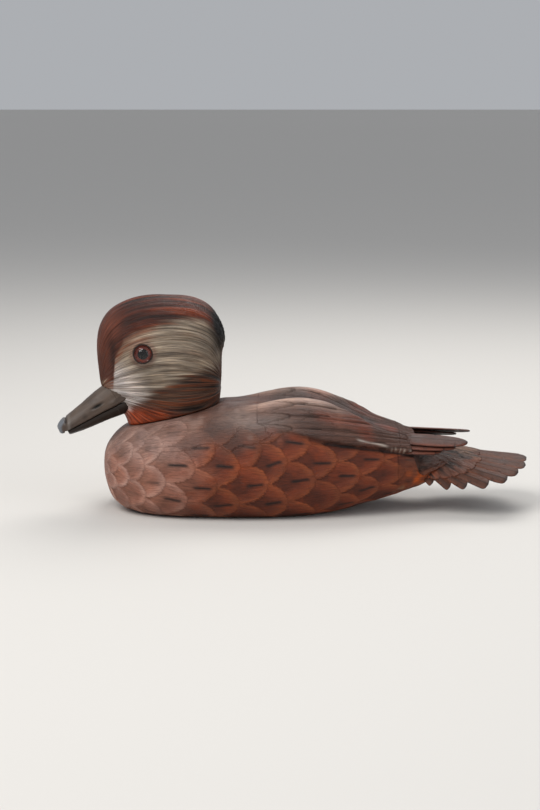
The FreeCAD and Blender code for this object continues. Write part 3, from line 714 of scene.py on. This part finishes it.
def bill_skin(node, front, rear, shades, is_upper):
    """One half of the bill: smooth horn with a nostril, a nail and fine wear, with a painted highlight band
    behind the nail and a painted sheen on top of the upper half.
    """
    front, rear = (turned(np.array([p], float), HEAD_TURN)[0] for p in (front, rear))
    skin = Skin([node], front, rear, 150, 160, passes=5)
    base = turned(skin.points, -HEAD_TURN)
    x, y, z = (base[..., k] for k in range(3))
    mottle = noise(base, 3, 31)
    height = 0.06 * noise(base, 1.6, 32)
    layers = [(shades[1], smooth(mottle, 0, 0.8) * 0.6)]
    if is_upper:
        slit = bump(x, -113.0, 2.6) * bump(z - 59.6 - 0.5 * (x + 113.0), 0, 0.75) * smooth(np.abs(y), 3, 4)
        height -= 1.1 * slit
        nail = smooth(-x, 131.0, 131.6) * smooth(-np.abs(y), -5.4, -4.2)
        groove = bump(x, -130.8, 0.45) * smooth(-np.abs(y), -6.5, -5)
        height += 0.45 * nail - 0.5 * groove
        layers += [
            ("120e0d", slit * 1.3),
            ("858c94", nail * 0.8),
            # painted highlight: a light band across the bill just behind the nail's groove
            ("9a938c", bump(x, -129.0, 0.9) * 0.45),
            ("15110f", groove),
            # painted sheen: the bill is lighter where its surface faces up
            ("7a7068", smooth(skin.normal[..., 2], 0.45, 0.9) * 0.5),
        ]
    paint = painted(x.shape, shades[0], layers)
    skin.push(height)
    flow = triples(skin.angle[None, :] * 5 + 0 * x, skin.run, 0)
    piece = grid_mesh(node + "_skin", skin.points, np.clip(paint, 0, 1), flow)
    look = carved_paint(node + " paint", lines=0.9, depth=0.06, contrast=0.2, rough=0.42)
    piece.data.materials.append(look)
    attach(piece, "head")
    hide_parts(node)


# ---------------------------------------------------------------- loose feathers


def straight(root, tip, up):
    """A flat bed for a feather from root to tip, and its length. The bed gives points and an up direction
    for distances along and across."""
    root, tip, up = (np.array(v, float) for v in (root, tip, up))
    length = np.linalg.norm(tip - root)
    along = (tip - root) / length
    up = up - along * (up @ along)
    up = up / np.linalg.norm(up)
    side = np.cross(up, along)
    return lambda run, across: (root + along * run[..., None] + side * across[..., None], up), length


def feather(name, bed, length, half, thick, shades, seed, roundness, camber, spread=0.0):
    """One carved feather on a bed: a raised shaft, slanting barbs, a split or two, and a rounded end."""
    s, t = np.meshgrid(np.linspace(0, 1, 110), np.linspace(-1, 1, 40), indexing="ij")
    width = (half + spread * s * length) * (1 - s ** (2 * roundness)) ** 0.5
    width = np.maximum(width * (1 + 0.03 * np.sin(9 * s + seed)), 0.05)
    across = t * width
    middle, up = bed(s * length, across)
    notch = bump(s, 0.62 + 0.2 * random_for(seed, 1, 1), 0.012) * smooth(t, 0.35, 1)
    notch = notch + bump(s, 0.8 + 0.1 * random_for(seed, 2, 1), 0.009) * smooth(-t, 0.45, 1)
    barb = (s * length - 0.9 * np.abs(across)) * 1.15
    groove = 0.05 * np.sin(2 * math.pi * barb / 1.3 + 2 * noise(triples(s * 9, t * 2), 1, seed))
    shaft = 0.32 * bump(across, 0, 0.55) * (1 - 0.6 * s)
    crown = camber * (1 - t ** 2)
    middle = middle + up * crown[..., None]
    edge = np.sqrt(np.maximum(1 - np.abs(t) ** 6, 0)) * np.sqrt(np.maximum(1 - s ** 24, 0))
    half_thick = 0.5 * thick * (1 - 0.45 * s) * edge
    top = middle + up * (half_thick + (shaft + groove - 0.5 * notch) * edge)[..., None]
    low = middle - up * (half_thick + 0.4 * (shaft + groove) * edge)[..., None]
    points = np.concatenate([top, low[:, ::-1]], axis=1)
    tint = painted(s.shape, shades[0], [
        (shades[1], 0.6 * smooth(np.abs(t), 0.55, 0.98) * smooth(s, 0.1, 0.5)),
        ("1c1412", 0.75 * bump(np.abs(t), 1, 0.05) + 0.8 * bump(s, 1, 0.02) + notch),
        ("241915", 0.55 * bump(across, 0, 0.35)),
        (shades[2], 0.35 * smooth(noise(triples(s * 12, t * 3), 1, seed + 5), 0.1, 0.8)),
    ])
    flow = triples(barb * 0.9, np.abs(across), seed)
    # painted shade: the underside gets the top's paint darkened by a fifth
    paint = np.concatenate([tint, tint[:, ::-1] * 0.8], axis=1)
    flow = np.concatenate([flow, flow[:, ::-1]], axis=1)
    return grid_mesh(name, points, np.clip(paint, 0, 1), flow)


def arch(angle, sunk):
    """The bed of the tail feather at an angle of the fan, a little below the fan's own height."""
    def bed(run, across):
        distance = FAN_ROOT + run
        here = angle + across / distance
        x, y = FAN_CENTRE_X + distance * np.cos(here), distance * np.sin(here)
        slope = tail_height(x, y + 0.5) - tail_height(x, y - 0.5)
        up = triples(0.0, -slope, 1.0)
        return triples(x, y, tail_height(x, y) - sunk), up / np.linalg.norm(up, axis=-1, keepdims=True)
    return bed


def tail():
    """The fan of tail feathers, the middle one on top."""
    shades = ("63402f", "88563e", "35221a")
    look = carved_paint("tail feathers", lines=1.6, depth=0.22, contrast=0.4)
    edges = [-slit for slit in reversed(TAIL_SLITS)] + TAIL_SLITS
    for number in range(15):
        low, high = math.radians(edges[number]), math.radians(edges[number + 1])
        angle, place = (low + high) / 2, abs(number - 7)
        turn = abs(math.degrees(angle))
        reach = np.interp(turn, [0, 11, 18, 25, 31, 36, 42, 48], [77.3, 76.5, 74, 69.5, 61, 51, 41.5, 32])
        share = (high - low) / 2 * 1.22
        bed = arch(angle, 0.9 + 0.16 * place)
        name = f"tail_blade_{number + 1:02d}"
        length, half = float(reach) - FAN_ROOT, FAN_ROOT * share
        piece = feather(name, bed, length, half, 1.4, shades, number + 1, 22, 0.3, share)
        piece.data.materials.append(look)
        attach(piece, "body")
        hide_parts(f"tail_feather_{number + 1:02d}")


def tail_coverts():
    """The short feathers that run from the rump over the root of the tail fan."""
    angles, shares = np.radians(np.linspace(-54, 54, 260)), np.linspace(0, 1, 150)
    angle, share = np.meshgrid(angles, shares, indexing="ij")
    ragged = 1 + 0.02 * noise(triples(angle * 24, 0 * share), 1, 51)
    ragged = ragged + 0.02 * noise(triples(angle * 70, 0 * share), 1, 52)
    turn = np.abs(np.degrees(angle))
    reach = np.interp(turn, [0, 17, 27, 32, 37, 45, 54], [50, 51, 48, 45.5, 40, 33.5, 25]) * ragged
    distance = 2 + (reach - 2) * share
    x, y = FAN_CENTRE_X + distance * np.cos(angle), distance * np.sin(angle)
    place = triples(angle * 26, distance * 0.16)
    across, _, rim, key = shingles(distance / 9 + 0.3 * noise(triples(x, y), 9, 53), angle * 7, 1.5, 17)
    strand = noise(place, 1, 54) + 0.6 * noise(place * 2.2, 1, 55)
    lift = np.interp(share, [0, 0.5, 0.8, 0.95, 1], [5.5, 2.6, 1.1, 0.35, 0.0])
    relief = (0.2 * strand + 0.2 * smooth(rim, 0, 0.25)) * smooth(-share, -1, -0.85)
    height = tail_height(x, y) + lift + relief
    top, low = triples(x, y, height), triples(x, y, tail_height(x, y) - 1.2)
    patch = noise(triples(x, y), 7, 56)
    middle = smooth(x, 84, 96) * smooth(-np.abs(y), -18, -8)
    edge = smooth(-x, -84, -70) * smooth(np.abs(y), 12, 19)
    paint = painted(x.shape, "6e4d40", [
        ("84492c", smooth(patch, 0.0, 0.6) * 0.7),
        ("94806f", middle * smooth(patch, -0.6, 0.4) * 0.6),
        ("b85c22", edge * smooth(strand + patch, -0.6, 0.5) * 0.9),
        ("1d1411", smooth(-strand, 0.2, 0.9) * 0.7),
    ])
    flow = triples(across * 7 + angle * 12, distance + key * 40, key * 9)
    points = np.concatenate([top, low[:, ::-1]], axis=1)
    shades = np.clip(np.concatenate([paint, paint[:, ::-1]], axis=1), 0, 1)
    piece = grid_mesh("tail_coverts", points, shades, np.concatenate([flow, flow[:, ::-1]], axis=1))
    piece.data.materials.append(carved_paint("tail coverts", lines=1.5, depth=0.3, contrast=0.7))
    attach(piece, "body")
    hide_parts("body_block")


def wing_tips():
    """Three primaries a side, stacked."""
    shades = ("5c3a2e", "8c5038", "35211a")
    look = carved_paint("wing tips", lines=1.6, depth=0.22, contrast=0.4)
    for side, sign in (("left", -1), ("right", 1)):
        for place in range(3):
            node = node_points(f"{side}_primary_{place + 1}")
            at_tip = node[node[:, 0] > node[:, 0].max() - 0.3].mean(0)
            at_root = node[node[:, 0] < 54].mean(0)
            bed, length = straight(at_root, at_tip, (0, sign * 0.3, 1))
            name = f"{side}_wing_tip_{place + 1}"
            piece = feather(name, bed, length, 7.0, 1.6, shades, 40 + place, 3.5, 0.7)
            piece.data.materials.append(look)
            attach(piece, "body")
            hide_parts(f"{side}_primary_{place + 1}")


# ---------------------------------------------------------------- the CAD pieces that stay as they are


def plain_nodes():
    """Materials for the pieces under the bird and inside it."""
    board = wood("painted board", "5c3a2b", "43291e")
    dowel = wood("dowel", "c9a878", "a5824f", grain=(14, 14, 1))
    brass = metal("aged brass", "a58a4e", "6a5530", 0.38)
    lead = metal("cast lead", "6a6c70", "4a4c50", 0.55)
    steel = metal("zinc steel", "a8abae", "85888c", 0.35)
    looks = {"bottom_board": board, "neck_pin": dowel, "bill_pin": dowel, "ballast_weight": lead}
    looks |= {"bottom_screws": brass, "ballast_screws": brass, "line_tie_staple": brass}
    looks |= {"neck_washer": steel, "neck_screw": steel}
    for name, look in looks.items():
        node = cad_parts[name]
        node.data.materials.clear()
        node.data.materials.append(look)


# ---------------------------------------------------------------- camera, floor and light


def area(name, place, target, size, power, tint):
    """A soft square light."""
    lamp = bpy.data.lights.new(name, "AREA")
    lamp.size, lamp.energy, lamp.color = size, power, tint
    made = bpy.data.objects.new(name, lamp)
    made.location = place
    made.rotation_euler = (Vector(target) - Vector(place)).to_track_quat("-Z", "Y").to_euler()
    bpy.context.collection.objects.link(made)


def studio():
    """A plain pale floor, soft light from above left, and the camera."""
    corners = [(x, y, -0.0002) for x, y in ((-12, -12), (12, -12), (12, 12), (-12, 12))]
    mesh = bpy.data.meshes.new("floor")
    mesh.from_pydata(corners, [], [(0, 1, 2, 3)])
    floor = bpy.data.objects.new("floor", mesh)
    bpy.context.collection.objects.link(floor)
    made, shader, add, links = material("floor", 0.7)
    cloud = add("ShaderNodeTexNoise", {"Scale": 3.0, "Detail": 3.0}).outputs[0]
    links.new(mixed(add, cloud, (0.60, 0.58, 0.55, 1), (0.64, 0.62, 0.59, 1)), shader.inputs["Base Color"])
    floor.data.materials.append(made)

    area("key", (-0.55, -0.55, 0.95), (0, 0, 0.04), 0.8, 11, (1.0, 0.985, 0.96))
    area("fill", (0.9, -0.6, 0.5), (0, 0, 0.05), 0.9, 3, (0.95, 0.97, 1.0))
    area("rim", (0.2, 0.5, 0.8), (0, 0, 0.05), 0.6, 5, (1.0, 0.98, 0.95))
    world = bpy.data.worlds.new("studio")
    world.use_nodes = True
    world.node_tree.nodes["Background"].inputs["Color"].default_value = (0.92, 0.95, 1.0, 1)
    world.node_tree.nodes["Background"].inputs["Strength"].default_value = 0.45
    bpy.context.scene.world = world
    bpy.context.scene.view_settings.view_transform = "Standard"

    camera = bpy.data.objects.new("camera", bpy.data.cameras.new("camera"))
    bpy.context.collection.objects.link(camera)
    lift, distance, aim = math.radians(11), 1.04, Vector((0, 0, 0.045))
    camera.location = aim + Vector((0, -math.cos(lift), math.sin(lift))) * distance
    camera.rotation_euler = (aim - camera.location).to_track_quat("-Z", "Y").to_euler()
    camera.data.lens, camera.data.sensor_width = 50, 22.3
    camera.data.shift_x, camera.data.shift_y = -24.5 / 810, 22.5 / 810
    bpy.context.scene.camera = camera


body_skin()
head_skin()
bill_skin("upper_bill", (-129, 0, 49.6), (-103, 0, 65.0), ("62554c", "4a3f38"), True)
bill_skin("lower_bill", (-125.2, 0, 45.5), (-101, 0, 56.8), ("3d332d", "2c2420"), False)
eyes()
tail()
tail_coverts()
wing_tips()
plain_nodes()
studio()
